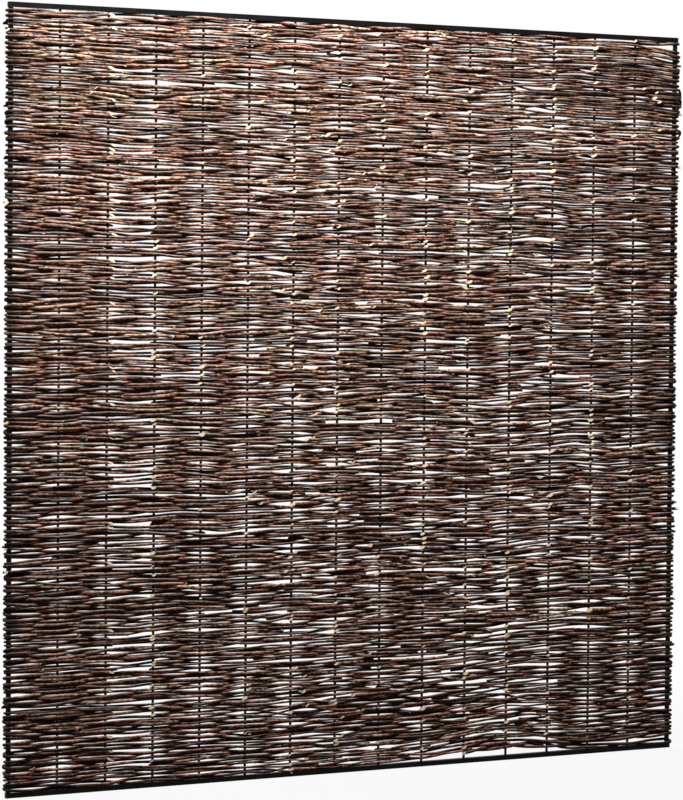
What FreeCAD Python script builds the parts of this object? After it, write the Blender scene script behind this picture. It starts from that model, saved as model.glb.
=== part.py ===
# Woven willow hurdle: a fence panel of willow rods woven through a welded steel frame.
# Frame: origin at the middle of the bottom rail's underside, X along the panel,
# Y through its thickness with the front towards -Y, Z up. Millimetres.

import FreeCAD
import Part
import Sketcher

import os

doc = FreeCAD.newDocument("willow_hurdle")


# Driving sizes

sizes = doc.addObject("Spreadsheet::Sheet", "Sizes")
DRIVING_SIZES = [
    ("panel_width", 1800),
    ("panel_height", 1800),
    ("rail_side", 12),
    ("post_diameter", 12),
    ("upright_diameter", 6),
    ("bay_count", 15),
    ("course_pairs", 28),
    ("course_gap", 3),
    ("rod_depth", 9),
    ("weave_clearance", 0.3),
]
for row, (alias, size) in enumerate(DRIVING_SIZES, start=1):
    sizes.set(f"A{row}", alias)
    sizes.set(f"B{row}", str(size))
    sizes.setAlias(f"B{row}", alias)
doc.recompute()


# Formulas that the pieces share, as expression texts

# The posts stand flush with the rail ends, and the uprights divide the space between post centres evenly.
POST_X = "(Sizes.panel_width - Sizes.post_diameter) / 2"
BAY_WIDTH = "(Sizes.panel_width - Sizes.post_diameter) / Sizes.bay_count"
CLEAR_HEIGHT = "Sizes.panel_height - 2 * Sizes.rail_side"

# The courses of willow share the height between the rails, with an open slit between each two.
COURSE_STEP = (
    f"({CLEAR_HEIGHT} - 2 * Sizes.weave_clearance + Sizes.course_gap) / (2 * Sizes.course_pairs)"
)
COURSE_HEIGHT = f"({COURSE_STEP} - Sizes.course_gap)"
FIRST_COURSE_Z = f"Sizes.rail_side + Sizes.weave_clearance + {COURSE_HEIGHT} / 2"
WRAP_HEIGHT = f"{COURSE_HEIGHT} / 2"

# A course's middle line passes each steel bar at the bar's radius, a clearance and half the willow's depth.
UPRIGHT_REACH = "(Sizes.upright_diameter / 2 + Sizes.weave_clearance + Sizes.rod_depth / 2)"
POST_REACH = "(Sizes.post_diameter / 2 + Sizes.weave_clearance + Sizes.rod_depth / 2)"
POST_OUTSIDE = "(Sizes.post_diameter / 2 + Sizes.weave_clearance + Sizes.rod_depth)"


# Steel frame

def steel_rail(label, base_z):
    """A square bar as long as the panel is wide, with its underside at base_z."""
    bar = doc.addObject("Part::Box", label)
    bar.Label = label
    bar.setExpression("Length", "Sizes.panel_width")
    bar.setExpression("Width", "Sizes.rail_side")
    bar.setExpression("Height", "Sizes.rail_side")
    bar.setExpression("Placement.Base.x", "-Sizes.panel_width / 2")
    bar.setExpression("Placement.Base.y", "-Sizes.rail_side / 2")
    bar.setExpression("Placement.Base.z", base_z)
    return bar


def steel_rod(label, diameter, centre_x):
    """A round bar standing between the two rails."""
    bar = doc.addObject("Part::Cylinder", label)
    bar.Label = label
    bar.setExpression("Radius", f"{diameter} / 2")
    bar.setExpression("Height", CLEAR_HEIGHT)
    bar.setExpression("Placement.Base.x", centre_x)
    bar.setExpression("Placement.Base.z", "Sizes.rail_side")
    return bar


pieces = [
    steel_rail("bottom_rail", "0"),
    steel_rail("top_rail", "Sizes.panel_height - Sizes.rail_side"),
    steel_rod("left_post", "Sizes.post_diameter", f"-({POST_X})"),
    steel_rod("right_post", "Sizes.post_diameter", POST_X),
]
bay_count = int(round(sizes.get("bay_count")))
for number in range(1, bay_count):
    upright_x = f"-({POST_X}) + {number} * {BAY_WIDTH}"
    pieces.append(steel_rod(f"upright_{number:02d}", "Sizes.upright_diameter", upright_x))


# Willow weave

weave = doc.addObject("PartDesign::Body", "willow_weave")
weave.Label = "willow_weave"
weave.AllowCompound = True


def weave_sketch(name, plane_role, offset):
    """A sketch on one of the weave's own origin planes, moved along that plane's normal."""
    sketch = weave.newObject("Sketcher::SketchObject", name)
    plane = next(item for item in weave.Origin.OriginFeatures if item.Role == plane_role)
    sketch.AttachmentSupport = [(plane, "")]
    sketch.MapMode = "FlatFace"
    sketch.setExpression("AttachmentOffset.Base.z", offset)
    return sketch


def draw_lines(sketch, corners, closed):
    """Straight lines through the corners, each corner bound to its own pair of formulas."""
    places = [FreeCAD.Vector(*[sketch.evalExpression(text) for text in corner]) for corner in corners]
    ends = places[1:] + places[:1] if closed else places[1:]
    for start, end in zip(places, ends):
        sketch.addGeometry(Part.LineSegment(start, end))
    line_count = sketch.GeometryCount
    for line in range(1, line_count):
        sketch.addConstraint(Sketcher.Constraint("Coincident", line - 1, 2, line, 1))
    if closed:
        sketch.addConstraint(Sketcher.Constraint("Coincident", line_count - 1, 2, 0, 1))
    for number, (corner, place) in enumerate(zip(corners, places)):
        line, end = (number, 1) if number < line_count else (line_count - 1, 2)
        for kind, text, value in zip(("DistanceX", "DistanceY"), corner, place):
            index = sketch.addConstraint(Sketcher.Constraint(kind, line, end, value))
            sketch.setExpression(f"Constraints[{index}]", text)


def side_of(bar_number, course):
    """-1 where a course passes in front of a bar and 1 where it passes behind: each bar and course swaps."""
    return -1 if (bar_number + course) % 2 == 0 else 1


def course_z(course):
    """Height of a course's middle line."""
    return f"{FIRST_COURSE_Z} + {course} * {COURSE_STEP}"


def willow_course(course):
    """One course: a ridged band that passes the bars in turn in front and behind, out past both posts."""
    path = weave_sketch(f"course_{course}_path", "XY_Plane", course_z(course))
    first_side = side_of(0, course)
    last_side = side_of(bay_count, course)
    corners = [
        (f"-({POST_X}) - {POST_OUTSIDE}", f"{first_side} * {POST_REACH}"),
        (f"-({POST_X}) + Sizes.post_diameter / 2", f"{first_side} * {POST_REACH}"),
    ]
    for number in range(1, bay_count):
        upright_x = f"-({POST_X}) + {number} * {BAY_WIDTH}"
        corners.append((upright_x, f"{side_of(number, course)} * {UPRIGHT_REACH}"))
    corners += [
        (f"{POST_X} - Sizes.post_diameter / 2", f"{last_side} * {POST_REACH}"),
        (f"{POST_X} + {POST_OUTSIDE}", f"{last_side} * {POST_REACH}"),
    ]
    draw_lines(path, corners, closed=False)

    section = weave_sketch(f"course_{course}_section", "YZ_Plane", f"-({POST_X}) - {POST_OUTSIDE}")
    middle = f"{first_side} * {POST_REACH}"
    ridge = [
        (f"{middle} - Sizes.rod_depth / 2", course_z(course)),
        (middle, f"{course_z(course)} - {COURSE_HEIGHT} / 2"),
        (f"{middle} + Sizes.rod_depth / 2", course_z(course)),
        (middle, f"{course_z(course)} + {COURSE_HEIGHT} / 2"),
    ]
    draw_lines(section, ridge, closed=True)

    band = weave.newObject("PartDesign::AdditivePipe", f"course_{course}")
    band.Profile = section
    band.Spine = (path, [])
    band.Transition = "Right corner"
    return band


def post_wrap(course, post_name, bar_number, post_sign):
    """The rods' way round a post's outer side, from one course up to the next on the other face."""
    middle_x = f"{post_sign} * ({POST_X} + {POST_OUTSIDE} - Sizes.rod_depth / 2)"
    outline = weave_sketch(f"{post_name}_wrap_{course}_outline", "YZ_Plane", middle_x)
    corners = []
    for step in (0, 1):
        face = f"{side_of(bar_number, course + step)} * {POST_REACH}"
        below = (face, f"{course_z(course + step)} - {WRAP_HEIGHT} / 2")
        above = (face, f"{course_z(course + step)} + {WRAP_HEIGHT} / 2")
        corners += [below, above] if step == 0 else [above, below]
    draw_lines(outline, corners, closed=True)

    wrap = weave.newObject("PartDesign::Pad", f"{post_name}_wrap_{course}")
    wrap.Profile = outline
    wrap.SideType = "Symmetric"
    wrap.setExpression("Length", "Sizes.rod_depth")
    return wrap


def repeat_upwards(name, features, copies):
    """The features repeated every second course up the panel."""
    pattern = weave.newObject("PartDesign::LinearPattern", name)
    upward = next(item for item in weave.Origin.OriginFeatures if item.Role == "Z_Axis")
    pattern.Originals = features
    pattern.Direction = (upward, [""])
    pattern.setExpression("Occurrences", copies)
    pattern.setExpression("Length", f"2 * ({copies} - 1) * {COURSE_STEP}")
    weave.Tip = pattern
    return pattern


pair = [willow_course(0), post_wrap(0, "right_post", bay_count, 1), willow_course(1)]
doc.recompute()
repeat_upwards("all_pairs", pair, "Sizes.course_pairs")
doc.recompute()
link = post_wrap(1, "left_post", 0, -1)
doc.recompute()
repeat_upwards("all_links", [link], "(Sizes.course_pairs - 1)")
doc.recompute()
pieces.append(weave)


# Checks and files

for item in doc.Objects:
    if "Invalid" in item.State or "Error" in item.State:
        raise RuntimeError(f"{item.Label} failed: {item.State}")
for piece in pieces:
    if piece.Shape.isNull() or not piece.Shape.isValid():
        raise RuntimeError(f"{piece.Label} has no valid shape")
    if len(piece.Shape.Solids) != 1:
        raise RuntimeError(f"{piece.Label} has {len(piece.Shape.Solids)} solids")

os.makedirs("parts", exist_ok=True)
for piece in pieces:
    piece.Shape.exportStep(f"parts/{piece.Label}.step")
    box = piece.Shape.BoundBox
    print(f"{piece.Label}: {box.XLength:.1f} x {box.YLength:.1f} x {box.ZLength:.1f} mm, "
          f"{piece.Shape.Volume / 1000:.1f} cm3, {len(piece.Shape.Faces)} faces")
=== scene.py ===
# %% [markdown]
# # A woven willow hurdle
# A hurdle is a fence panel of willow rods woven through upright stakes. In this one the stakes are thin
# steel bars, welded into a black frame, and the rods go round the two side posts and come back.
# The steel comes ready from the CAD model. The rods are made here, one by one, each with its own
# thickness, taper, colour and cut end.

import bpy
import numpy as np
from mathutils import Matrix, Vector


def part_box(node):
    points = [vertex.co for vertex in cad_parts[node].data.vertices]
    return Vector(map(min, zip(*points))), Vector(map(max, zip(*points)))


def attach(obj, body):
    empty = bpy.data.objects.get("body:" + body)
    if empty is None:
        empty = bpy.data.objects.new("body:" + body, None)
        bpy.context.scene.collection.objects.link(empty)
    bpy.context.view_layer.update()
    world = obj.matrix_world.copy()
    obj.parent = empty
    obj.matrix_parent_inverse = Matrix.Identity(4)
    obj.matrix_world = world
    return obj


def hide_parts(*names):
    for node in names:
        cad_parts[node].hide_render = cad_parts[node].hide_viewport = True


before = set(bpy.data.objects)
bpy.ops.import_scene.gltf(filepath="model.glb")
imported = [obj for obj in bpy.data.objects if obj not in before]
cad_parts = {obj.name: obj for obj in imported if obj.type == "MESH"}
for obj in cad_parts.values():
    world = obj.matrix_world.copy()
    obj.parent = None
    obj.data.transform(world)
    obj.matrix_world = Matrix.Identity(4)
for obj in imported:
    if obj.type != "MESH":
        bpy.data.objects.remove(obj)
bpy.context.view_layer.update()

# %% [markdown]
# ## Measure the steel
# The rods lie where the bars are, so every bar's place and radius is read from the frame. Bar 0 is the
# left post, the last bar is the right post, and the uprights stand between them at an even spacing.

# %% Places and radii of the bars
MM = 0.001

upright_names = sorted(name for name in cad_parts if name.startswith("upright_"))
bar_names = ["left_post"] + upright_names + ["right_post"]
bar_boxes = [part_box(name) for name in bar_names]
bar_x = np.array([(low.x + high.x) / 2 for low, high in bar_boxes])
bar_radius = np.array([(high.x - low.x) / 2 for low, high in bar_boxes])
bay_count = len(bar_x) - 1
weave_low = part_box("bottom_rail")[1].z
weave_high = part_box("top_rail")[0].z
print(bay_count, "bays,", round(weave_high - weave_low, 4), "m of weave between the rails")

# %% [markdown]
# ## The camera
# The picture was taken from the left of the panel with a long lens, so the right side is only a little
# smaller than the left. Yaw, pitch and roll turn the camera from looking straight along +Y.

# %% Camera
PHOTO_HEIGHT_PX = 800
FOCAL_LENGTH_PX = 2970.0
SENSOR_MM = 36.0
CAMERA_PLACE = Vector((-3.332, -6.287, 1.169))
CAMERA_YAW = np.radians(27.58)
CAMERA_PITCH = np.radians(2.21)
CAMERA_ROLL = np.radians(0.46)


def camera_turn(yaw, pitch, roll):
    """Axes of the camera as a matrix: right, up and back, from yaw to the right, pitch down and roll."""
    forward = Vector((np.sin(yaw) * np.cos(pitch), np.cos(yaw) * np.cos(pitch), -np.sin(pitch)))
    level_right = Vector((np.cos(yaw), -np.sin(yaw), 0))
    level_up = level_right.cross(forward)
    right = level_right * np.cos(roll) + level_up * np.sin(roll)
    up = level_up * np.cos(roll) - level_right * np.sin(roll)
    return Matrix((right, up, -forward)).transposed().to_4x4()


lens = bpy.data.cameras.new("camera")
lens.sensor_width = SENSOR_MM
lens.lens = FOCAL_LENGTH_PX / PHOTO_HEIGHT_PX * SENSOR_MM
lens.clip_end = 100
camera = bpy.data.objects.new("camera", lens)
camera.matrix_world = Matrix.Translation(CAMERA_PLACE) @ camera_turn(CAMERA_YAW, CAMERA_PITCH, CAMERA_ROLL)
bpy.context.scene.collection.objects.link(camera)
bpy.context.scene.camera = camera
print("lens", round(lens.lens, 1), "mm")

# %% [markdown]
# ## Materials from small nodes
# A finish is a little network of nodes. These helpers make a material, add a node with its settings and
# join sockets, so each finish below reads as a short list.

# %% Node helpers
def new_finish(name):
    """A material with its node tree and its shader."""
    material = bpy.data.materials.new(name)
    material.use_nodes = True
    tree = material.node_tree
    return material, tree, tree.nodes["Principled BSDF"]


def add_node(tree, kind, inputs=(), **settings):
    """A new node: settings are its properties, inputs are (socket, value or other socket) pairs."""
    node = tree.nodes.new(kind)
    for name, value in settings.items():
        setattr(node, name, value)
    for socket, value in dict(inputs).items():
        if isinstance(value, bpy.types.NodeSocket):
            tree.links.new(value, node.inputs[socket])
        else:
            node.inputs[socket].default_value = value
    return node


def stretched_noise(tree, place, scale, detail):
    """Noise whose grain is stretched: place is multiplied by the grains in a metre along each axis."""
    moved = add_node(tree, "ShaderNodeMapping", {"Vector": place, "Scale": scale})
    noise = add_node(tree, "ShaderNodeTexNoise", {"Vector": moved.outputs[0], "Scale": 1.0, "Detail": detail})
    return noise.outputs["Fac"]


def spread(tree, value, low, high, to_low, to_high):
    """A value carried from one range to another and held inside it."""
    node = add_node(tree, "ShaderNodeMapRange", {
        "Value": value, "From Min": low, "From Max": high, "To Min": to_low, "To Max": to_high})
    return node.outputs["Result"]


def blend_colours(tree, factor, first, second, blend_type="MIX"):
    """Two colours mixed by a factor."""
    node = add_node(tree, "ShaderNodeMix", data_type="RGBA", blend_type=blend_type)
    for socket, value in ((0, factor), (6, first), (7, second)):
        if isinstance(value, bpy.types.NodeSocket):
            tree.links.new(value, node.inputs[socket])
        else:
            node.inputs[socket].default_value = value
    return node.outputs[2]


def roughen(tree, shader, height, strength, distance):
    """Bump from a height, in metres of depth."""
    bump = add_node(tree, "ShaderNodeBump", {"Height": height, "Strength": strength, "Distance": distance})
    tree.links.new(bump.outputs["Normal"], shader.inputs["Normal"])


# %% [markdown]
# ## Black steel
# The bars are hot-rolled steel under satin black paint. Rolled bar is never quite smooth, so the paint
# has a faint grain in its gloss, and dust dulls it in patches.

# %% Steel finish on the CAD bars
def black_paint():
    """Near-black paint with a rolled grain: dusty patches are a little lighter and less glossy."""
    material, tree, shader = new_finish("black_paint")
    place = add_node(tree, "ShaderNodeTexCoord").outputs["Object"]
    dust = stretched_noise(tree, place, (14, 14, 9), 4.0)
    grain = stretched_noise(tree, place, (900, 900, 500), 3.0)
    colour = blend_colours(tree, spread(tree, dust, 0.45, 0.75, 0.0, 1.0),
                           (0.003, 0.003, 0.003, 1), (0.009, 0.008, 0.008, 1))
    tree.links.new(colour, shader.inputs["Base Color"])
    tree.links.new(spread(tree, dust, 0.3, 0.75, 0.36, 0.62), shader.inputs["Roughness"])
    shader.inputs["Specular IOR Level"].default_value = 0.06
    roughen(tree, shader, grain, 0.25, 0.15 * MM)
    return material


paint = black_paint()
for name in bar_names + ["top_rail", "bottom_rail"]:
    steel_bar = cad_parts[name]
    steel_bar.data.materials.clear()
    steel_bar.data.materials.append(paint)
print("painted", len(bar_names) + 2, "steel bars")

# %% [markdown]
# ## How the rods are laid
# The weaver works with rods in pairs. At every bar one rod of the pair passes in front and the other
# behind, and between two bars they change faces, one above the other. The same rod stays on top for a few
# bays, then the two swap. Beside a bar they come closer in height, so more daylight shows there, while the
# middle of each bay is packed tighter.
# At a post the rod goes round the outside and comes back as its own partner, so one level is a closed
# loop: strand A from left to right, round the right post, strand B back, and round the left post.
# A loop is longer than a rod, so each level takes four or five rods, and more where ends are loose at a post.

# %% Loop stations of one level
LEVELS = 168
BAY_STEPS = 8
WRAP_STEPS = 7
STRAND_STEPS = bay_count * BAY_STEPS
LOOP_STEPS = 2 * (STRAND_STEPS + WRAP_STEPS)
B_START = STRAND_STEPS + WRAP_STEPS
LEFT_WRAP = B_START + STRAND_STEPS

rng = np.random.default_rng(27)


def loop_station(strand, bar):
    """Station on the loop of a place given in bars from the left: A counts up with it, B counts down."""
    return bar * BAY_STEPS if strand == "A" else B_START + (bay_count - bar) * BAY_STEPS


strand_bars = np.arange(STRAND_STEPS + 1) / BAY_STEPS
print(LOOP_STEPS, "stations on each of", LEVELS, "loops")

# %% [markdown]
# ## Choosing the rods
# Butts, the thick cut ends, are tucked in beside a bar. Near each side one rod starts a few bars in, goes
# out round the post and comes back along the other face, so its thick part is at the post. The rods of
# the middle start where the left ones do, and go to the right. Between two butts a bay may be left open.
# On the other face one more rod joins the two tips.

# %% Rods of every level
ODD_SHARE = 0.62
LEFT_BARS = ([2, 2, 2, 2, 4], [2, 2, 2, 3])
JOINT_BARS = ([7, 9], [6, 8, 10])
RIGHT_BARS = ([13, 13, 11, 11, 9], [12, 12, 14, 10])
LEFT_TIP_BARS = (5.0, 8.0)
RIGHT_TIP_BARS = (9.0, 12.0)
LONG_MIDDLE_SHARE = 0.32
SHORT_TIP_SHARE = 0.08
CLOSED_SHARE = 0.52
LOOSE_END_SHARE = 0.07
BUTT_PAST_BAR = (0.04, 0.12)
BUTT_BEFORE_BAR = (0.0, 0.06)
CLOSED_OVERLAP_BARS = (0.2, 0.9)
RIGHT_OVERLAP_BARS = (0.1, 0.9)
OVERLAP_STEPS = (1, 8)
SHORT_TIP_STEPS = (-7, 0)
BUTT_MM = (5.3, 8.9)
TIP_MM = (4.2, 6.3)
TAPER_POWER = 1.9

front_swap = rng.integers(0, 2, LEVELS)
odd_front = rng.random(LEVELS) < ODD_SHARE
front_is_a = (front_swap == 1) == odd_front
loose_ends = rng.random((LEVELS, 2)) < LOOSE_END_SHARE


def side_rod(butt, tip, wrap_middle, loose):
    """A rod from its butt round a post to its tip, or two rods where the post has loose ends."""
    if loose:
        return [(butt, wrap_middle, False, True), (wrap_middle, tip, True, False)]
    return [(butt, tip, False, False)]


def plan_rods(level):
    """The level's rods as (butt station, tip station, loose start, loose end)."""
    front, back = ("A", "B") if front_is_a[level] else ("B", "A")
    kind = 0 if odd_front[level] else 1
    left_bar = rng.choice(LEFT_BARS[kind]) + rng.uniform(*BUTT_PAST_BAR)
    if rng.random() > CLOSED_SHARE:
        middle_bar = np.floor(left_bar) + 1 - rng.uniform(*BUTT_BEFORE_BAR)
    else:
        middle_bar = left_bar - rng.uniform(*CLOSED_OVERLAP_BARS)
    right_bar = rng.choice(RIGHT_BARS[kind]) - rng.uniform(*BUTT_BEFORE_BAR)
    left_tip = rng.uniform(*LEFT_TIP_BARS)
    right_tip = rng.uniform(*RIGHT_TIP_BARS)
    whole_loop = -LOOP_STEPS if front == "A" else LOOP_STEPS
    left_middle = -WRAP_STEPS / 2 if front == "A" else LEFT_WRAP + WRAP_STEPS / 2
    right_middle = STRAND_STEPS + WRAP_STEPS / 2
    spans = side_rod(loop_station(front, left_bar), loop_station(back, left_tip) + whole_loop,
                     left_middle, loose_ends[level, 1])
    spans += side_rod(loop_station(front, right_bar), loop_station(back, right_tip),
                      right_middle, loose_ends[level, 0])
    bars = [middle_bar, right_bar - rng.uniform(*RIGHT_OVERLAP_BARS)]
    if rng.random() > LONG_MIDDLE_SHARE:
        joint_bar = min(rng.choice(JOINT_BARS[kind]), np.floor(bars[1]) - 2)
        bars.insert(1, joint_bar - rng.uniform(*BUTT_BEFORE_BAR))
    stations = [loop_station(front, bar) for bar in bars]
    spans += [(butt, tip, False, False) for butt, tip in zip(stations, stations[1:])]
    back_ends = rng.permutation([loop_station(back, left_tip), loop_station(back, right_tip)])
    return spans + [(back_ends[0], back_ends[1], False, False)]


rods = []
for level in range(LEVELS):
    for first, last, loose_start, loose_end in plan_rods(level):
        overlap_range = SHORT_TIP_STEPS if rng.random() < SHORT_TIP_SHARE else OVERLAP_STEPS
        rods.append({"level": level, "first": first, "last": last,
                     "loose_start": loose_start, "loose_end": loose_end,
                     "overlap": rng.uniform(*overlap_range),
                     "butt": rng.uniform(*BUTT_MM) * MM, "tip": rng.uniform(*TIP_MM) * MM})
print(len(rods), "willow rods")

# %% [markdown]
# ## Stacking the levels
# The pile settles where rods cross, so the height of a level in the middle of a bay follows the
# thicknesses of the rods near it. Over a longer stretch the levels share the space between the rails almost
# evenly. Towards the right the lowest rods have ridden up off the bottom rail. By the right post the top
# rod and the bottom rod keep to the rails, and there is a slit between each of them and its neighbour. The
# rods above or below such a gap lie closer together, so it is hardly felt half a metre away.

# %% Thickness along every loop
def rod_thickness(rod, along):
    """Thickness at a share of the length: little taper from the butt, most of it near the tip."""
    return rod["butt"] + (rod["tip"] - rod["butt"]) * along ** TAPER_POWER


OPEN_MM = 2.0

thickness = np.full((LEVELS, LOOP_STEPS), OPEN_MM * MM)
for rod in rods:
    low, high = sorted((rod["first"], rod["last"]))
    stations = np.arange(np.ceil(low), np.ceil(high)).astype(int)
    along = (stations - rod["first"]) / (rod["last"] - rod["first"])
    thickness[rod["level"], stations % LOOP_STEPS] = rod_thickness(rod, along)

thick_a = thickness[:, :STRAND_STEPS + 1]
thick_b = thickness[:, B_START:B_START + STRAND_STEPS + 1][:, ::-1]
strand_thickness = np.stack([thick_a, thick_b])
print("mean rod thickness", round(strand_thickness.mean() / MM, 2), "mm")

# %% Heights at the bars and in mid-bay
def cosine_weights(places, count):
    """Weights that carry values at 0, 1, 2 and so on to the places in between, by half a cosine wave."""
    start = np.clip(np.floor(places).astype(int), 0, count - 2)
    t = (1 - np.cos(np.pi * (places - start))) / 2
    weights = np.zeros((len(places), count))
    weights[np.arange(len(places)), start] = 1 - t
    weights[np.arange(len(places)), start + 1] += t
    return weights


SETTLE_SHARE = 0.2
SETTLE_LEVELS = 9

half_bars = np.arange(2 * bay_count + 1) / 2
mid_bays = np.arange(bay_count) * BAY_STEPS + BAY_STEPS // 2
pair_height = strand_thickness[:, :, mid_bays].sum(0)
stacked = (np.cumsum(pair_height, 0) - pair_height / 2) / pair_height.sum(0)
even = (np.arange(LEVELS)[:, None] + 0.5) / LEVELS
walk = stacked - even
running_mean = np.ones(SETTLE_LEVELS) / SETTLE_LEVELS
slow_walk = np.stack([np.convolve(column, running_mean, "same") for column in walk.T], 1)
share = even + walk - (1 - SETTLE_SHARE) * slow_walk
share_at = np.zeros((LEVELS, 2 * bay_count + 1))
share_at[:, 1::2] = share
share_at[:, 2:-1:2] = (share[:, 1:] + share[:, :-1]) / 2
share_at[:, 0] = share[:, 0]
share_at[:, -1] = share[:, -1]
print("one level is", round((weave_high - weave_low) / LEVELS / MM, 2), "mm")

# %% Wander of the levels and gaps by the rails
SLOW_WANDER_MM = 1.2
QUICK_WANDER_MM = 0.6
POST_WANDER_MM = 1.2
KNOT_BARS = 3
FIT_MM = 0.8
EDGE_LEVELS = 0.3
BOTTOM_GAP_MM = 16.0
BOTTOM_GAP_BAR = 11.0
BOTTOM_GAP_WIDTH = 1.3
CORNER_GAPS_MM = (6.0, 12.0)
TOP_CORNER_WIDTH = 0.35
CORNER_BARS = 1.8
REST_MM = 4.5
LIFT_REACH = 0.12

to_right_post = bay_count - half_bars
ridden_up = BOTTOM_GAP_MM * np.exp(-((half_bars - BOTTOM_GAP_BAR) / BOTTOM_GAP_WIDTH) ** 2)
lift = MM * (ridden_up + CORNER_GAPS_MM[0] * np.exp(-to_right_post))
drop = MM * CORNER_GAPS_MM[1] * np.exp(-to_right_post / TOP_CORNER_WIDTH)

slow_knots = rng.normal(0, SLOW_WANDER_MM, (LEVELS, bay_count // KNOT_BARS + 2))
wander = slow_knots @ cosine_weights(half_bars / KNOT_BARS, slow_knots.shape[1]).T
wander += rng.normal(0, QUICK_WANDER_MM, wander.shape)
wander[:, [0, -1]] += rng.normal(0, POST_WANDER_MM, (LEVELS, 2))
share_at += wander * MM / (weave_high - weave_low)
share_at = np.clip(share_at, EDGE_LEVELS / LEVELS, 1 - EDGE_LEVELS / LEVELS)
pair_z = weave_low + FIT_MM * MM + share_at * (weave_high - weave_low - 2 * FIT_MM * MM)
pair_z += lift * np.exp(-share_at / LIFT_REACH) - drop * np.exp((share_at - 1) / LIFT_REACH)
by_corner = to_right_post < CORNER_BARS
pair_z[0, by_corner] = weave_low + REST_MM * MM
pair_z[-1, by_corner] = weave_high - REST_MM * MM
print("lowest level", round(pair_z.min(), 4), "m, highest level", round(pair_z.max(), 4), "m")

# %% Upper and lower rod of each pair
SWAP_SHARE = 0.3
LEAN_SHARE = 0.5
SPLIT_SHARE = 0.35

swaps = np.cumsum(rng.random((LEVELS, bay_count)) < SWAP_SHARE, 1)
upper = rng.choice([-1, 1], (LEVELS, 1)) * np.where(swaps % 2 == 0, 1, -1)
upper_at_bar = np.zeros((LEVELS, bay_count + 1))
upper_at_bar[:, 1:-1] = (upper[:, 1:] + upper[:, :-1]) / 2
upper_at_bar[:, [0, -1]] = upper[:, [0, -1]]
bars_at = np.arange(bay_count + 1) * BAY_STEPS
split = LEAN_SHARE * upper_at_bar + rng.normal(0, SPLIT_SHARE, upper_at_bar.shape)
split *= strand_thickness[:, :, bars_at].mean(0)
strand_z_at = np.stack([pair_z, pair_z])
strand_z_at[:, :, 1::2] += np.stack([upper, -upper]) * strand_thickness[::-1][:, :, mid_bays] / 2
strand_z_at[:, :, ::2] += np.stack([split, -split]) / 2
print("a pair swaps", round((np.diff(upper, axis=1) != 0).sum(1).mean(), 1), "times along a level")

# %% [markdown]
# ## From heights to lines
# Between these stations a rod is a smooth springy line. Heights follow a Catmull-Rom curve, which passes
# through every station with no kink. The way in and out between bars is half a cosine wave, and the two
# rods of a pair change faces near the middle of the bay, sooner in one and later in another.

# %% Strand lines
def catmull_rom_weights(places, count):
    """Weights that carry values at 0, 1, 2 and so on to the places in between, on a smooth curve."""
    start = np.clip(np.floor(places).astype(int), 0, count - 2)
    t = places - start
    cubic = np.stack([-t + 2 * t**2 - t**3, 2 - 5 * t**2 + 3 * t**3,
                      t + 4 * t**2 - 3 * t**3, -t**2 + t**3]) / 2
    weights = np.zeros((len(places), count))
    for shift, weight in zip((-1, 0, 1, 2), cubic):
        np.add.at(weights, (np.arange(len(places)), np.clip(start + shift, 0, count - 1)), weight)
    return weights


STEEL_GAP_MM = 0.2
CROSSING_RANGE = (0.33, 0.67)

strand_x = np.interp(strand_bars, np.arange(bay_count + 1), bar_x)
side_a = np.where((np.arange(bay_count + 1) + front_swap[:, None]) % 2 == 0, -1, 1)
side = np.stack([side_a, -side_a])
reach = bar_radius + STEEL_GAP_MM * MM + strand_thickness[:, :, bars_at] / 2
bar_y = side * reach
bay_of = np.minimum(strand_bars.astype(int), bay_count - 1)
in_bay = strand_bars - bay_of
crossing = rng.uniform(*CROSSING_RANGE, (LEVELS, bay_count))
lean = (0.5 - crossing) / (crossing * (1 - crossing))
turned = in_bay + lean[:, bay_of] * in_bay * (1 - in_bay)
strand_z = strand_z_at @ catmull_rom_weights(2 * strand_bars, 2 * bay_count + 1).T
step_y = bar_y[:, :, bay_of + 1] - bar_y[:, :, bay_of]
strand_y = bar_y[:, :, bay_of] + step_y * (1 - np.cos(np.pi * turned)) / 2
print("rods reach", round(np.abs(strand_y).max() / MM, 1), "mm from the middle of the panel")

# %% [markdown]
# ## Round the posts
# At a post the line is half a circle round the bar, from one face to the other. Some rods stop there
# instead, and their ends stand a little proud of the post. Near the top of the right post a few stiff rods
# spring away from it in a bow.

# %% Closed loops
LOOSE_REACH_MM = (2.0, 7.0)
BOWED_WRAPS = ((1.655, 1.5), (1.644, 1.7), (1.633, 1.8), (1.622, 1.9), (1.611, 1.6),
               (1.558, 1.7), (1.547, 1.3))

wrap_angle = np.pi * np.arange(1, WRAP_STEPS) / WRAP_STEPS
wrap_turn = (1 - np.cos(wrap_angle)) / 2
wrap_out = 1 - np.abs(1 - 2 * np.arange(1, WRAP_STEPS) / WRAP_STEPS)


def post_wrap(level, post, first_strand):
    """Points round a post: a half circle from one strand's side to the other's, or two loose ends."""
    outward = -1 if post == 0 else 1
    ends = [strand_z[:, level, post * BAY_STEPS], bar_y[:, level, post]]
    (z_first, z_second), (y_first, y_second) = [(pair[first_strand], pair[1 - first_strand]) for pair in ends]
    if loose_ends[level, 1 if post == 0 else 0]:
        proud = bar_radius[post] + rng.uniform(*LOOSE_REACH_MM) * MM
        before = wrap_angle < np.pi / 2
        x = bar_x[post] + outward * proud * wrap_out / wrap_out.max()
        return np.stack([x, np.where(before, y_first, y_second), np.where(before, z_first, z_second)], 1)
    radius = np.abs(y_first) + (np.abs(y_second) - np.abs(y_first)) * wrap_turn
    bow = bow_of[level] if post else 1.0
    x = bar_x[post] + outward * radius * np.sin(wrap_angle) * bow
    y = np.sign(y_first) * radius * np.cos(wrap_angle)
    return np.stack([x, y, z_first + (z_second - z_first) * wrap_turn], 1)


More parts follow.
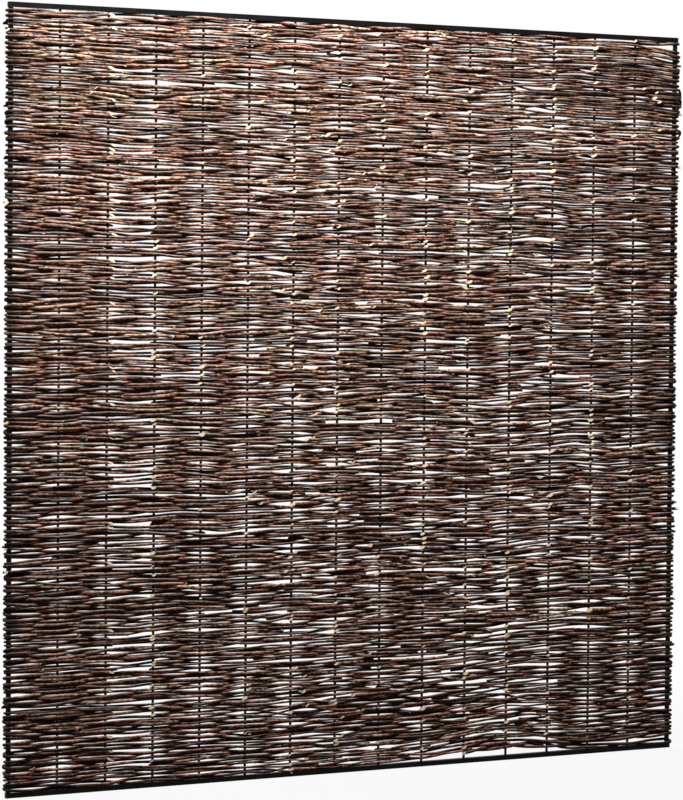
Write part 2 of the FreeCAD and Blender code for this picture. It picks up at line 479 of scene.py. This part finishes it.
bow_of = np.ones(LEVELS)
for height, bow in BOWED_WRAPS:
    bowed = np.argmin(np.abs(pair_z[:, -1] - height))
    bow_of[bowed] = bow
    loose_ends[bowed, 0] = False

strand_lines = np.stack([np.broadcast_to(strand_x, strand_z.shape), strand_y, strand_z], -1)
loops = np.stack([
    np.concatenate([strand_lines[0, level], post_wrap(level, bay_count, 0),
                    strand_lines[1, level, ::-1], post_wrap(level, 0, 1)])
    for level in range(LEVELS)])
print("loops:", loops.shape)

# %% [markdown]
# ## From lines to rods
# A rod is a round tube carried along its piece of the loop. The tube gets thinner towards the tip, is
# never quite even, and keeps a second set of coordinates, those of the straight rod, so that the bark's
# grain runs along it through every bend. The butt is cut on a slant, which shows pale wood.

# %% One rod
SIDES = 8
RIPPLE = 0.08
WANDER_MM = 0.35
KNOT_POINTS = 4
SLANT = 1.35
LONG_CUT = 1.8
TUCK_STEPS = 4
TUCK_IN = 0.3
TUCK_ASIDE = 0.45


def points_on_loop(line, stations):
    """Places on a closed loop at fractional stations, on straight lines between its points."""
    low = np.floor(stations).astype(int)
    part = (stations - low)[:, None]
    return line[low % LOOP_STEPS] * (1 - part) + line[(low + 1) % LOOP_STEPS] * part


def smooth_wander(count, size):
    """A slow random wave of the given size, from random values at every fourth point."""
    knots = rng.normal(0, size, count // KNOT_POINTS + 3)
    return np.interp(np.arange(count) / KNOT_POINTS, np.arange(len(knots)), knots)


def tube_rings(points, radii, cut_side):
    """Rings of a tube: each point plus its radius times cosine and sine along two axes across the line.
    The first ring is slanted, its points on the cut side and on top set further along. Cuts that look to
    the right are longer."""
    along = np.gradient(points, axis=0)
    along /= np.linalg.norm(along, axis=1, keepdims=True)
    across = np.cross((0, 0, 1), along)
    across /= np.linalg.norm(across, axis=1, keepdims=True)
    upward = np.cross(along, across)
    angle = 2 * np.pi * np.arange(SIDES) / SIDES
    spokes = np.cos(angle)[None, :, None] * across[:, None] + np.sin(angle)[None, :, None] * upward[:, None]
    rings = points[:, None] + radii[:, None, None] * spokes
    length = SLANT * radii[0] * (LONG_CUT if along[0, 0] < 0 else 1.0)
    slant = length * (0.85 * cut_side * spokes[0, :, 1] + 0.5 * spokes[0, :, 2])
    rings[0] += slant[:, None] * along[0]
    return rings, angle


def rod_line(rod):
    """Points and thicknesses of one rod along its loop. Its thin tip stops short or runs on beside the
    next rod, tucked a little inwards and up or down."""
    step = np.sign(rod["last"] - rod["first"])
    first = rod["first"] + (0.5 * step if rod["loose_start"] else 0)
    last = rod["last"] + step * (-0.5 if rod["loose_end"] else rod["overlap"])
    count = int(np.ceil(abs(last - first))) + 1
    stations = np.linspace(first, last, count)
    points = points_on_loop(loops[rod["level"]], stations)
    share_along = np.clip((stations - rod["first"]) / (rod["last"] - rod["first"]), 0, 1.05)
    if not rod["loose_end"]:
        tuck = np.clip((stations - rod["last"]) * step / TUCK_STEPS + 1, 0, 1)
        points[:, 1] *= 1 - TUCK_IN * tuck
        points[:, 2] += rng.choice([-1, 1]) * tuck * (rod["tip"] + rod["butt"]) * TUCK_ASIDE
    return points, rod_thickness(rod, share_along)


def rod_surface(points, thicknesses):
    """Rings of one rod, a little uneven, and their straight-rod coordinates."""
    count = len(points)
    uneven = points.copy()
    uneven[:, 2] += smooth_wander(count, WANDER_MM * MM)
    radii = thicknesses / 2 * (1 + smooth_wander(count, RIPPLE))
    rings, angle = tube_rings(uneven, radii, np.sign(points[0, 1]))
    length = np.concatenate([[0], np.cumsum(np.linalg.norm(np.diff(uneven, axis=0), axis=1))])
    straight = np.stack([radii[:, None] * np.cos(angle), radii[:, None] * np.sin(angle),
                         np.broadcast_to(length[:, None], (count, SIDES))], -1)
    return rings, straight + rng.uniform(-50, 50, 3)


strands = [(rod["level"], *rod_line(rod)) for rod in rods]

# %% [markdown]
# ## Thin filling rods
# Where the long rods leave a slit, the weaver slips in short thin ones, most of them in the two bays
# beside the left post.

# %% Filling rods
LEFT_FILL_SHARE = 0.35
OTHER_FILL_SHARE = 0.1
FILL_MM = (3.0, 4.8)
LEFT_FILL_STARTS = (0.45, 0.9)
LEFT_FILL_ENDS = (1.4, 2.6)
FILL_MIDDLES = (4.5, 13)
FILL_BARS = (2.0, 4.0)
LAST_FILL_BAR = 14.8


def filling_rod(level, first_bar, last_bar):
    """A thin rod that weaves between two levels, from one place along the bars to another."""
    bars = np.linspace(first_bar, last_bar, int(abs(last_bar - first_bar) * BAY_STEPS) + 2)
    thick = rng.uniform(*FILL_MM) * MM * np.linspace(1, 0.7, len(bars))
    between = (pair_z[level] + pair_z[level + 1]) / 2
    reach_out = np.interp(bars, np.arange(bay_count + 1), bar_radius) + STEEL_GAP_MM * MM + thick / 2
    y = rng.choice([-1, 1]) * np.cos(np.pi * bars) * reach_out
    x = np.interp(bars, np.arange(bay_count + 1), bar_x)
    return level, np.stack([x, y, np.interp(bars, half_bars, between)], 1), thick


for level in range(LEVELS - 1):
    if rng.random() < LEFT_FILL_SHARE:
        ends = [rng.uniform(*LEFT_FILL_STARTS), rng.uniform(*LEFT_FILL_ENDS)]
        strands.append(filling_rod(level, *rng.permutation(ends)))
    if rng.random() < OTHER_FILL_SHARE:
        middle = rng.uniform(*FILL_MIDDLES)
        length = rng.choice([-1, 1]) * rng.uniform(*FILL_BARS)
        strands.append(filling_rod(level, middle - length / 2, min(middle + length / 2, LAST_FILL_BAR)))
print(len(strands) - len(rods), "filling rods")

# %% [markdown]
# ## Steep rods
# At the bowed wraps a few rod ends run down the outer side of the right post, from the front to the back.
# Together they make a knot that stands proud of the panel's edge.

# %% Steep rods
STEEP_RODS = ((1.668, 0.050, 15.5), (1.660, 0.030, 12.0), (1.646, 0.034, 17.0), (1.636, 0.026, 13.0),
              (1.566, 0.026, 16.5))
STEEP_STEPS = 25
STEEP_MM = (6.5, 5.0)
STEEP_TURN = 0.6
STEEP_DEPTH = 0.85
STEEP_END = 5.0


def steep_rod(top, fall, reach_mm):
    """A line down the post's outer side: half a turn from front to back as it falls, straight at its
    ends."""
    turn = np.linspace(-1.0, 1.0, STEEP_STEPS)
    round_post = np.pi / 2 * np.clip(turn / STEEP_TURN, -1, 1)
    straight = np.clip(np.abs(turn) - STEEP_TURN, 0, 1)
    x = bar_x[-1] + reach_mm * MM * np.cos(round_post) - STEEP_END * fall * straight
    y = STEEP_DEPTH * reach_mm * MM * np.sin(round_post)
    z = top - fall * (1 + np.sin(round_post)) / 2
    level = int(np.argmin(np.abs(pair_z[:, -1] - top)))
    return level, np.stack([x, y, z], 1), np.linspace(*STEEP_MM, STEEP_STEPS) * MM


strands += [steep_rod(*plan) for plan in STEEP_RODS]
print(len(STEEP_RODS), "steep rods at the right post")

# %% [markdown]
# ## Trimmed side shoots
# A willow rod grows small side shoots. The weaver trims them, and a stub with a pale end is left here
# and there.

# %% Stubs
STUB_COUNT = 1000
STUB_LENGTH_MM = (3.0, 9.0)
STUB_MM = (1.6, 2.6)
STUB_ANGLES = (-0.6, 0.9)
STUB_SPREAD = (0.4, 0.9)
STUB_POST_GAP_MM = 30


def stub(level, points, thicknesses):
    """A short straight shoot, from its cut end back to the rod's middle. It leans along the rod and away
    from it."""
    ring = rng.integers(2, len(points) - 1)
    along = points[ring] - points[ring - 1]
    along /= np.linalg.norm(along)
    angle = rng.uniform(*STUB_ANGLES)
    sideways = np.array([0, np.sign(points[ring, 1]) * np.cos(angle), np.sin(angle)])
    outward = along + rng.uniform(*STUB_SPREAD) * sideways
    outward /= np.linalg.norm(outward)
    length = thicknesses[ring] / 2 + rng.uniform(*STUB_LENGTH_MM) * MM
    places = points[ring] + np.linspace(1, 0, 3)[:, None] * length * outward
    return level, places, rng.uniform(*STUB_MM) * MM * np.linspace(0.8, 1.1, 3)


stubs = [stub(*strands[number]) for number in rng.integers(0, len(rods), STUB_COUNT)]
kept_stubs = [shoot for shoot in stubs if abs(shoot[1][0, 0]) < bar_x[-1] - STUB_POST_GAP_MM * MM]
strands += kept_stubs
print(len(kept_stubs), "stubs")

# %% [markdown]
# ## Stray twigs
# Here and there a thin twig has sprung out of the weave and lies steeply across the front. The longest
# are near the top.

# %% Stray twigs
KNOWN_TWIGS = ((13.5, 1.647, 55, -22), (7.66, 1.558, 40, 84), (2.45, 1.440, 30, -40))
TWIG_COUNT = 26
TWIG_MM = (1.6, 2.6)
TWIG_OUT_MM = 11.5
TWIG_BOW_MM = 1.5
TWIG_POINTS = 6
TWIG_BARS = (0.5, 14.5)
TWIG_HEIGHTS = (0.1, 1.6, 1.7)
TWIG_LENGTHS_MM = (12, 32)
TWIG_DEGREES = (25, 80)


def stray_twig(bar, height, length_mm, degrees):
    """A slightly bowed twig in front of the weave, its middle at a bar place and height, turned from
    level."""
    middle = np.array([np.interp(bar, np.arange(bay_count + 1), bar_x), -TWIG_OUT_MM * MM, height])
    turn = np.radians(degrees)
    along = np.array([np.cos(turn), 0.04, np.sin(turn)])
    places = middle + np.linspace(-0.5, 0.5, TWIG_POINTS)[:, None] * length_mm * MM * along
    places[:, 2] += TWIG_BOW_MM * MM * np.sin(np.linspace(0, np.pi, TWIG_POINTS))
    level = int(np.argmin(np.abs(pair_z[:, 2 * int(bar)] - height)))
    return level, places, rng.uniform(*TWIG_MM) * MM * np.linspace(1, 0.6, TWIG_POINTS)


strands += [stray_twig(*plan) for plan in KNOWN_TWIGS]
for number in range(TWIG_COUNT):
    degrees = rng.choice([-1, 1]) * rng.uniform(*TWIG_DEGREES)
    bar = rng.uniform(*TWIG_BARS)
    height = rng.triangular(*TWIG_HEIGHTS)
    strands.append(stray_twig(bar, height, rng.uniform(*TWIG_LENGTHS_MM), degrees))
print(len(KNOWN_TWIGS) + TWIG_COUNT, "stray twigs")

# %% [markdown]
# ## Bark colours
# Rods from several kinds of willow are mixed in one panel: near black, dark brown, red-brown, olive,
# pink-grey and a few straw-coloured ones. Each rod takes one bark and shifts it a little. The fourth
# number of its colour is the strength of its painted highlight on top.

# %% Colour of each rod
BARKS = {
    "black brown": ((0.132, 0.062, 0.043), 0.22),
    "dark brown": ((0.242, 0.118, 0.076), 0.27),
    "red brown": ((0.330, 0.166, 0.108), 0.21),
    "olive brown": ((0.295, 0.186, 0.115), 0.12),
    "pink grey": ((0.430, 0.296, 0.228), 0.15),
    "straw": ((0.490, 0.345, 0.230), 0.03),
}
HIGHLIGHT_RANGE = (0.15, 1.0)
BRIGHTNESS_RANGE = (0.65, 1.45)
HUE_RANGE = (0.92, 1.08)

bark_colours = np.array([colour for colour, share_of_rods in BARKS.values()])
bark_shares = np.array([share_of_rods for colour, share_of_rods in BARKS.values()])
rod_bark = rng.choice(len(BARKS), len(strands), p=bark_shares / bark_shares.sum())
rod_colours = np.ones((len(strands), 4))
rod_colours[:, :3] = bark_colours[rod_bark] * rng.uniform(*BRIGHTNESS_RANGE, (len(strands), 1))
rod_colours[:, :3] *= rng.uniform(*HUE_RANGE, (len(strands), 3))
# The fourth number: how strong the painted highlight on the rod's top is.
rod_colours[:, 3] = rng.uniform(*HIGHLIGHT_RANGE, len(strands))
print(dict(zip(BARKS, np.bincount(rod_bark, minlength=len(BARKS)).tolist())))


# %% [markdown]
# ## Bark
# Willow bark is a little waxy, with fine wrinkles along the rod, blotches and small pale pores. Its upper
# side has a pale painted highlight, and its front and underside have painted shade, dark red below. The grain
# is noise stretched along the straight rod's own coordinates.

# %% Bark and cut wood finishes
def willow_bark():
    """Bark: the rod's colour times streaks and blotches along it, painted shade on the front and a dark red
    painted shade on the underside, a pale painted highlight on top, pale pores, satin gloss and fine
    wrinkles."""
    material, tree, shader = new_finish("willow_bark")
    straight = add_node(tree, "ShaderNodeAttribute", attribute_name="straight_rod").outputs["Vector"]
    own = add_node(tree, "ShaderNodeAttribute", attribute_name="bark_colour")
    normal = add_node(tree, "ShaderNodeTexCoord").outputs["Normal"]
    upward = add_node(tree, "ShaderNodeSeparateXYZ", {"Vector": normal}).outputs["Z"]
    streaks = stretched_noise(tree, straight, (420, 420, 14), 4.0)
    wrinkles = stretched_noise(tree, straight, (1800, 1800, 120), 3.0)
    pores = stretched_noise(tree, straight, (900, 900, 420), 1.0)
    mottle = stretched_noise(tree, straight, (130, 130, 95), 5.0)
    patches = stretched_noise(tree, straight, (60, 60, 26), 2.0)
    shade = add_node(tree, "ShaderNodeMath", operation="MULTIPLY", inputs={
        0: spread(tree, streaks, 0.3, 0.7, 0.6, 1.4), 1: spread(tree, mottle, 0.41, 0.59, 0.15, 1.95)})
    channels = {channel: shade.outputs[0] for channel in ("Red", "Green", "Blue")}
    grey = add_node(tree, "ShaderNodeCombineColor", channels)
    # Painted shade: the front of a rod is darker than its top, and its underside dark red, as if lit from
    # above.
    front_shade_tint = blend_colours(tree, spread(tree, upward, 0.2, 0.85, 0.0, 1.0),
                               (0.50, 0.41, 0.37, 1), (1, 1, 1, 1))
    under_shade_tint = blend_colours(tree, spread(tree, upward, -0.6, 0.1, 0.0, 1.0),
                               (0.15, 0.055, 0.035, 1), (1, 1, 1, 1))
    patch_tint = blend_colours(tree, spread(tree, patches, 0.38, 0.62, 0.0, 1.0),
                               (0.86, 0.87, 0.88, 1), (1.19, 1.15, 1.12, 1))
    patched = blend_colours(tree, 1.0, own.outputs["Color"], patch_tint, "MULTIPLY")
    streaked = blend_colours(tree, 1.0, patched, grey.outputs[0], "MULTIPLY")
    painted_shading = blend_colours(tree, 1.0, front_shade_tint, under_shade_tint, "MULTIPLY")
    shaded = blend_colours(tree, 1.0, streaked, painted_shading, "MULTIPLY")
    # Painted highlight: the upper side turns pale pink-grey, scaled by the fourth number of the rod's colour.
    highlight_share = add_node(tree, "ShaderNodeMath", {0: spread(tree, upward, 0.35, 1.0, 0.0, 0.7),
                                               1: own.outputs["Alpha"]}, operation="MULTIPLY")
    highlighted = blend_colours(tree, highlight_share.outputs[0], shaded, (0.90, 0.69, 0.60, 1))
    speckled = blend_colours(tree, spread(tree, pores, 0.62, 0.72, 0.0, 0.45),
                             highlighted, (0.62, 0.49, 0.38, 1))
    tree.links.new(speckled, shader.inputs["Base Color"])
    tree.links.new(spread(tree, wrinkles, 0.3, 0.7, 0.38, 0.6), shader.inputs["Roughness"])
    shader.inputs["Specular IOR Level"].default_value = 0.04
    roughen(tree, shader, wrinkles, 0.5, 0.25 * MM)
    return material


def cut_willow():
    """Fresh-cut wood: cream, with darker stains in small patches."""
    material, tree, shader = new_finish("cut_willow")
    place = add_node(tree, "ShaderNodeTexCoord").outputs["Object"]
    stain = stretched_noise(tree, place, (500, 500, 500), 3.0)
    colour = blend_colours(tree, spread(tree, stain, 0.35, 0.65, 0.0, 1.0),
                           (0.86, 0.62, 0.34, 1), (0.95, 0.81, 0.56, 1))
    tree.links.new(colour, shader.inputs["Base Color"])
    shader.inputs["Roughness"].default_value = 0.7
    roughen(tree, shader, stain, 0.3, 0.2 * MM)
    return material


bark = willow_bark()
cut_wood = cut_willow()

# %% [markdown]
# ## Building the meshes
# Hundreds of rods go into a few meshes, one for each band of levels, so that no mesh grows too heavy.
# The faces are counted in whole arrays: four corners for each patch of bark, and one polygon to close
# each end. Painted shade darkens the bark round the posts, on the side that faces the panel's middle plane
# and towards the ground.

# %% Bands of rods
BANDS = 6
POST_SHADE = 0.22
POST_SHADE_MM = (6, 20)
INNER_SHADE = 0.1
INNER_REACH_MM = 6.0
# Painted shade: bark darker and redder towards the ground, fading out by this height.
LOW_SHADE_TINT = (0.76, 0.62, 0.60, 0.62)
LOW_SHADE_HEIGHT = 1.3


def rod_faces(ring_count, start):
    """Corner numbers of a rod's patches, and of its two ends, with all faces outwards."""
    ring = np.arange(SIDES)
    base = start + SIDES * np.arange(ring_count - 1)[:, None]
    beside = (ring + 1) % SIDES
    patches = np.stack([base + ring, base + beside, base + SIDES + beside, base + SIDES + ring], -1)
    butt = start + ring[::-1]
    tip = start + SIDES * (ring_count - 1) + ring
    return patches.reshape(-1, 4), np.stack([butt, tip])


def post_shade(x):
    """Bark is darker where it bends round a post: a share that rises evenly to 1 about a thumb away."""
    away = np.minimum(np.abs(x - bar_x[0]), np.abs(x - bar_x[-1]))
    start, width = POST_SHADE_MM
    return POST_SHADE + (1 - POST_SHADE) * np.clip((away - start * MM) / (width * MM), 0, 1)


def low_painted_shade(z):
    """Painted shade near the ground, darker and redder: a tint that fades evenly to white with height."""
    height_share = np.clip(z / LOW_SHADE_HEIGHT, 0, 1)[:, None]
    return np.array(LOW_SHADE_TINT) * (1 - height_share) + height_share


def inner_shade(rings):
    """Painted shade on the side of a rod that faces the panel's middle plane, where the rods behind the bars
    lie
    in shadow: a share that falls with how far the surface faces that plane and how far the rod stands off it."""
    middle = rings.mean(1, keepdims=True)[..., 1]
    offset = rings[..., 1] - middle
    facing = np.clip(-np.sign(middle) * offset / np.abs(offset).max(1, keepdims=True), 0, 1)
    return 1 - (1 - INNER_SHADE) * facing * np.clip(np.abs(middle) / (INNER_REACH_MM * MM), 0, 1)


def build_mesh(name, chosen):
    """One object from many rods, with its bark colour and straight-rod coordinates on every point."""
    surfaces = [rod_surface(*strands[number][1:]) for number in chosen]
    ring_counts = [len(rings) for rings, straight in surfaces]
    starts = np.concatenate([[0], np.cumsum(ring_counts)[:-1]]) * SIDES
    faces = [rod_faces(count, start) for count, start in zip(ring_counts, starts)]
    patches = np.concatenate([patch for patch, ends in faces])
    ends = np.concatenate([end for patch, end in faces])
    corners = np.concatenate([patches.ravel(), ends.ravel()])
    face_starts = np.concatenate([np.arange(len(patches)) * 4,
                                  len(patches) * 4 + np.arange(len(ends)) * SIDES])
    points = np.concatenate([rings.reshape(-1, 3) for rings, straight in surfaces])

    mesh = bpy.data.meshes.new(name)
    mesh.vertices.add(len(points))
    mesh.vertices.foreach_set("co", points.ravel())
    mesh.loops.add(len(corners))
    mesh.loops.foreach_set("vertex_index", corners)
    mesh.polygons.add(len(face_starts))
    mesh.polygons.foreach_set("loop_start", face_starts)
    is_bark = np.arange(len(face_starts)) < len(patches)
    is_butt = ~is_bark & ((np.arange(len(face_starts)) - len(patches)) % 2 == 0)
    mesh.polygons.foreach_set("use_smooth", is_bark)
    mesh.polygons.foreach_set("material_index", is_butt.astype(int))
    mesh.update(calc_edges=True)

    colours = np.repeat(rod_colours[chosen], np.array(ring_counts) * SIDES, axis=0)
    inner = np.concatenate([inner_shade(rings).ravel() for rings, straight in surfaces])
    colours *= (post_shade(points[:, 0]) * inner)[:, None] * low_painted_shade(points[:, 2])
    straight_rods = np.concatenate([straight.reshape(-1, 3) for rings, straight in surfaces])
    colour_layer = mesh.attributes.new("bark_colour", "FLOAT_COLOR", "POINT")
    colour_layer.data.foreach_set("color", colours.ravel())
    straight_layer = mesh.attributes.new("straight_rod", "FLOAT_VECTOR", "POINT")
    straight_layer.data.foreach_set("vector", straight_rods.ravel())
    mesh.materials.append(bark)
    mesh.materials.append(cut_wood)

    piece = bpy.data.objects.new(name, mesh)
    bpy.context.scene.collection.objects.link(piece)
    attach(piece, "root")
    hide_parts("willow_weave")
    print(name, "has", len(chosen), "rods and", 2 * len(patches) + (SIDES - 2) * len(ends), "triangles")
    return piece


rod_levels = np.array([strand[0] for strand in strands])
for band in range(BANDS):
    in_band = np.flatnonzero(rod_levels * BANDS // LEVELS == band)
    build_mesh(f"willow_rods_{band + 1:02d}", in_band)

# %% [markdown]
# ## Floor and light
# The panel stands on a pale floor in front of white. A wide lamp high in front lights the top of the
# panel most, a weak one at the left reaches its edge, and one behind lights the back. The lamps are hidden
# from the camera, which would see them through the slits. The camera sees the floor and the sky as white,
# and the floor still takes a soft shadow.

# %% Floor and world
FLOOR_SIZE = 40.0
SHADOW_SHARE = 0.1
SHADOW_REACH = 2.5
SKY_LIGHT = 0.01


def seen_directly(tree):
    """1 for rays that come from the camera, a reflection or through glass, else 0."""
    path = add_node(tree, "ShaderNodeLightPath")
    either = add_node(tree, "ShaderNodeMath", operation="MAXIMUM", inputs={
        0: path.outputs["Is Camera Ray"], 1: path.outputs["Is Glossy Ray"]})
    any_of_them = add_node(tree, "ShaderNodeMath", operation="MAXIMUM", inputs={
        0: either.outputs[0], 1: path.outputs["Is Transmission Ray"]})
    return any_of_them.outputs[0]


def pale_floor():
    """Matt floor that gives back little light. Seen directly it is white, with part of the light and
    shadow that fall on it near the panel."""
    material = bpy.data.materials.new("pale_floor")
    material.use_nodes = True
    tree = material.node_tree
    tree.nodes.clear()
    dim = add_node(tree, "ShaderNodeBsdfDiffuse", {"Color": (0.06, 0.06, 0.06, 1)})
    pale = add_node(tree, "ShaderNodeBsdfDiffuse", {"Color": (0.8, 0.8, 0.8, 1)})
    white = add_node(tree, "ShaderNodeEmission", {"Color": (1, 1, 1, 1), "Strength": 1.0})
    place = add_node(tree, "ShaderNodeTexCoord").outputs["Object"]
    away = add_node(tree, "ShaderNodeVectorMath", {0: place}, operation="LENGTH").outputs["Value"]
    whiteness = spread(tree, away, 1.0, SHADOW_REACH, 1 - SHADOW_SHARE, 1.0)
    seen = add_node(tree, "ShaderNodeMixShader", {0: whiteness, 1: pale.outputs[0], 2: white.outputs[0]})
    direct = seen_directly(tree)
    either = add_node(tree, "ShaderNodeMixShader", {0: direct, 1: dim.outputs[0], 2: seen.outputs[0]})
    add_node(tree, "ShaderNodeOutputMaterial", {"Surface": either.outputs[0]})
    return material


half = FLOOR_SIZE / 2
floor_corners = [(-half, -half, 0), (half, -half, 0), (half, half, 0), (-half, half, 0)]
floor_mesh = bpy.data.meshes.new("floor")
floor_mesh.from_pydata(floor_corners, [], [(0, 1, 2, 3)])
floor_mesh.materials.append(pale_floor())
floor = bpy.data.objects.new("floor", floor_mesh)
bpy.context.scene.collection.objects.link(floor)

world = bpy.data.worlds.new("white_room")
world.use_nodes = True
world_tree = world.node_tree
background = world_tree.nodes["Background"]
background.inputs["Color"].default_value = (1, 1, 1, 1)
sky = spread(world_tree, seen_directly(world_tree), 0.0, 1.0, SKY_LIGHT, 1.0)
world_tree.links.new(sky, background.inputs["Strength"])
bpy.context.scene.world = world

# %% Lamps
def soft_lamp(name, place, target, width, depth, power):
    """A rectangular area lamp that points from its place to a target, its width level."""
    data = bpy.data.lights.new(name, "AREA")
    data.shape = "RECTANGLE"
    data.size = width
    data.size_y = depth
    data.energy = power
    lamp = bpy.data.objects.new(name, data)
    lamp.location = place
    lamp.visible_camera = False
    lamp.rotation_mode = "QUATERNION"
    lamp.rotation_quaternion = (Vector(target) - Vector(place)).to_track_quat("-Z", "Y")
    bpy.context.scene.collection.objects.link(lamp)
    return lamp


soft_lamp("front_lamp", (-0.45, -1.15, 2.6), (-0.25, 0.0, 2.1), 1.8, 0.5, 65)
soft_lamp("left_lamp", (-3.5, -0.8, 1.0), (0.0, 0.0, 0.8), 0.8, 0.8, 9)
soft_lamp("back_lamp", (0.6, 2.6, 1.9), (0.0, 0.0, 1.0), 1.6, 1.6, 75)

# %% View settings
bpy.context.scene.view_settings.view_transform = "Standard"
